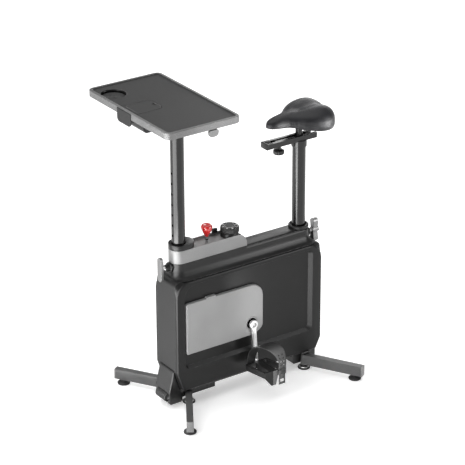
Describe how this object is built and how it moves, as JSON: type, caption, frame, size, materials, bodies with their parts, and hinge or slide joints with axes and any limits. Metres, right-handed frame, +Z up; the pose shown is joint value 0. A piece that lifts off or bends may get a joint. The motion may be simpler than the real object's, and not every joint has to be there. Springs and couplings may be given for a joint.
{
  "type": "desk exercise bike",
  "caption": "Upright exercise bike with a slim closed body, a tray desk and a saddle on height-adjustable posts, caged pedals with toe straps, and fold-out legs with disc feet.",
  "frame": {"origin": "on the floor, in the middle of the whole bike as it stands", "axes": "+Z up, +X toward the saddle end, -Y toward the side with the silver drive cover"},
  "size_m": [0.8554, 0.5416, 1.184],
  "materials": {
    "black_plastic": "black moulded plastic, fine grain",
    "dark_panel": "dark charcoal moulded panel",
    "silver_paint": "silver painted plastic",
    "tray_skin": "dark grey textured plastic",
    "black_metal": "satin black paint on steel",
    "grey_metal": "grey painted steel",
    "steel": "bright steel",
    "red_plastic": "glossy red plastic",
    "rubber": "black rubber",
    "saddle_cover": "black synthetic leather over foam"
  },
  "bodies": {
    "base": {"centre_housing": "black_plastic", "near_side_panel": "dark_panel", "far_side_panel": "dark_panel", "near_side_cover": "silver_paint", "console_housing": "silver_paint", "desk_post_collar": "black_plastic", "seat_post_collar": "black_plastic", "main_frame": "black_metal", "base_rail": "black_plastic", "desk_pin_boss": "black_plastic", "seat_pin_boss": "black_plastic", "near_crank_bearing": "steel", "far_crank_bearing": "steel", "flywheel_axle": "steel", "drive_belt": "rubber", "dial_seat": "black_plastic", "near_front_pivot_foot": "rubber", "near_rear_pivot_foot": "rubber", "far_front_pivot_foot": "rubber", "far_rear_pivot_foot": "rubber"},
    "roller": {"transport_roller": "rubber"},
    "desk_mast": {"desk_post": "black_metal", "tray_bracket": "black_metal"},
    "tray": {"tray_frame": "silver_paint", "tray_panel": "tray_skin", "tray_support": "black_plastic"},
    "tray_release": {"tray_lever": "silver_paint"},
    "stand_flap": {"tablet_stand": "tray_skin"},
    "seat_mast": {"seat_post": "black_metal", "seat_rail": "black_metal", "rail_end_cap": "black_plastic"},
    "saddle_carriage": {"saddle_slider": "black_metal", "saddle_base": "black_plastic", "saddle": "saddle_cover"},
    "slider_clamp": {"slider_knob": "black_plastic"},
    "desk_pin": {"desk_pin_handle": "steel"},
    "seat_pin": {"seat_pin_handle": "steel"},
    "dial": {"resistance_dial": "black_plastic"},
    "magnets": {"magnet_carrier": "grey_metal"},
    "brake": {"brake_knob": "red_plastic", "brake_rod": "steel"},
    "crank": {"crank_axle": "steel", "crank_pulley": "black_metal", "near_crank_arm": "steel", "far_crank_arm": "steel", "near_pedal_spindle": "steel", "far_pedal_spindle": "steel"},
    "flywheel_body": {"flywheel": "grey_metal"},
    "near_pedal_body": {"near_pedal": "black_plastic", "near_toe_strap": "rubber"},
    "far_pedal_body": {"far_pedal": "black_plastic", "far_toe_strap": "rubber"},
    "near_front_leg_body": {"near_front_leg": "grey_metal", "near_front_leg_foot": "rubber"},
    "near_rear_leg_body": {"near_rear_leg": "grey_metal", "near_rear_leg_foot": "rubber"},
    "far_front_leg_body": {"far_front_leg": "grey_metal", "far_front_leg_foot": "rubber"},
    "far_rear_leg_body": {"far_rear_leg": "grey_metal", "far_rear_leg_foot": "rubber"}
  },
  "joints": [
    {"name": "desk_post_height", "type": "slide", "parent": "base", "child": "desk_mast", "axis": [0, 0, 1], "range_m": [-0.36, 0.04]},
    {"name": "tray_tilt", "type": "hinge", "parent": "desk_mast", "child": "tray", "pos_m": [-0.2217, 0, 1.14], "axis": [0, 1, 0], "range_deg": [0, 25]},
    {"name": "tray_release_squeeze", "type": "hinge", "parent": "desk_mast", "child": "tray_release", "pos_m": [-0.2217, 0, 1.14], "axis": [0, 1, 0], "range_deg": [0, 15], "stiffness_Nm_per_rad": 0.6, "springref_deg": -17.19},
    {"name": "tablet_stand_fold", "type": "hinge", "parent": "tray", "child": "stand_flap", "pos_m": [-0.4082, 0, 1.1775], "axis": [0, -1, 0], "range_deg": [0, 100]},
    {"name": "seat_post_height", "type": "slide", "parent": "base", "child": "seat_mast", "axis": [0, 0, 1], "range_m": [-0.2, 0.12]},
    {"name": "saddle_travel", "type": "slide", "parent": "seat_mast", "child": "saddle_carriage", "axis": [1, 0, 0], "range_m": [-0.038, 0.03]},
    {"name": "slider_knob_turn", "type": "hinge", "parent": "saddle_carriage", "child": "slider_clamp", "pos_m": [0.2158, 0, 0.881], "axis": [0, 0, 1], "range_deg": [-270, 270]},
    {"name": "desk_pin_pull", "type": "slide", "parent": "base", "child": "desk_pin", "axis": [-1, 0, 0], "range_m": [0, 0.008], "stiffness_N_per_m": 800, "springref_m": -0.004},
    {"name": "seat_pin_pull", "type": "slide", "parent": "base", "child": "seat_pin", "axis": [1, 0, 0], "range_m": [0, 0.008], "stiffness_N_per_m": 800, "springref_m": -0.004},
    {"name": "dial_turn", "type": "hinge", "parent": "base", "child": "dial", "pos_m": [-0.0002, 0, 0.62], "axis": [0, 0, 1], "range_deg": [-120, 150]},
    {"name": "magnet_swing", "type": "hinge", "parent": "base", "child": "magnets", "pos_m": [0.0028, 0, 0.405], "axis": [0, 1, 0], "range_deg": [-1.6, 2]},
    {"name": "brake_push", "type": "slide", "parent": "base", "child": "brake", "axis": [0, 0, 1], "range_m": [-0.008, 0], "stiffness_N_per_m": 1500, "springref_m": 0.005},
    {"name": "crank_turn", "type": "hinge", "parent": "base", "child": "crank", "pos_m": [0.0448, 0, 0.266], "axis": [0, 1, 0], "continuous": true},
    {"name": "flywheel_turn", "type": "hinge", "parent": "base", "child": "flywheel_body", "pos_m": [-0.0772, 0, 0.3], "axis": [0, 1, 0], "continuous": true},
    {"name": "near_pedal_turn", "type": "hinge", "parent": "crank", "child": "near_pedal_body", "pos_m": [0.05291, -0.15, 0.11121], "axis": [0, 1, 0], "continuous": true},
    {"name": "far_pedal_turn", "type": "hinge", "parent": "crank", "child": "far_pedal_body", "pos_m": [0.03669, 0.15, 0.42079], "axis": [0, 1, 0], "continuous": true},
    {"name": "near_front_leg_fold", "type": "hinge", "parent": "base", "child": "near_front_leg_body", "pos_m": [-0.2072, -0.033, 0.038], "axis": [0, 0, 1], "range_deg": [0, 122.3]},
    {"name": "far_front_leg_fold", "type": "hinge", "parent": "base", "child": "far_front_leg_body", "pos_m": [-0.2072, 0.033, 0.038], "axis": [0, 0, -1], "range_deg": [0, 122.3]},
    {"name": "near_rear_leg_fold", "type": "hinge", "parent": "base", "child": "near_rear_leg_body", "pos_m": [0.2958, -0.0595, 0.038], "axis": [0, 0, -1], "range_deg": [0, 120.3]},
    {"name": "far_rear_leg_fold", "type": "hinge", "parent": "base", "child": "far_rear_leg_body", "pos_m": [0.2958, 0.0595, 0.038], "axis": [0, 0, 1], "range_deg": [0, 120.3]},
    {"name": "roller_turn", "type": "hinge", "parent": "base", "child": "roller", "pos_m": [-0.2942, 0, 0.043], "axis": [0, 1, 0], "continuous": true}
  ],
  "couplings": [
    {"joint": "flywheel_turn", "follows": "crank_turn", "ratio": 3.75},
    {"joint": "magnet_swing", "follows": "dial_turn", "ratio": 0.0125}
  ]
}
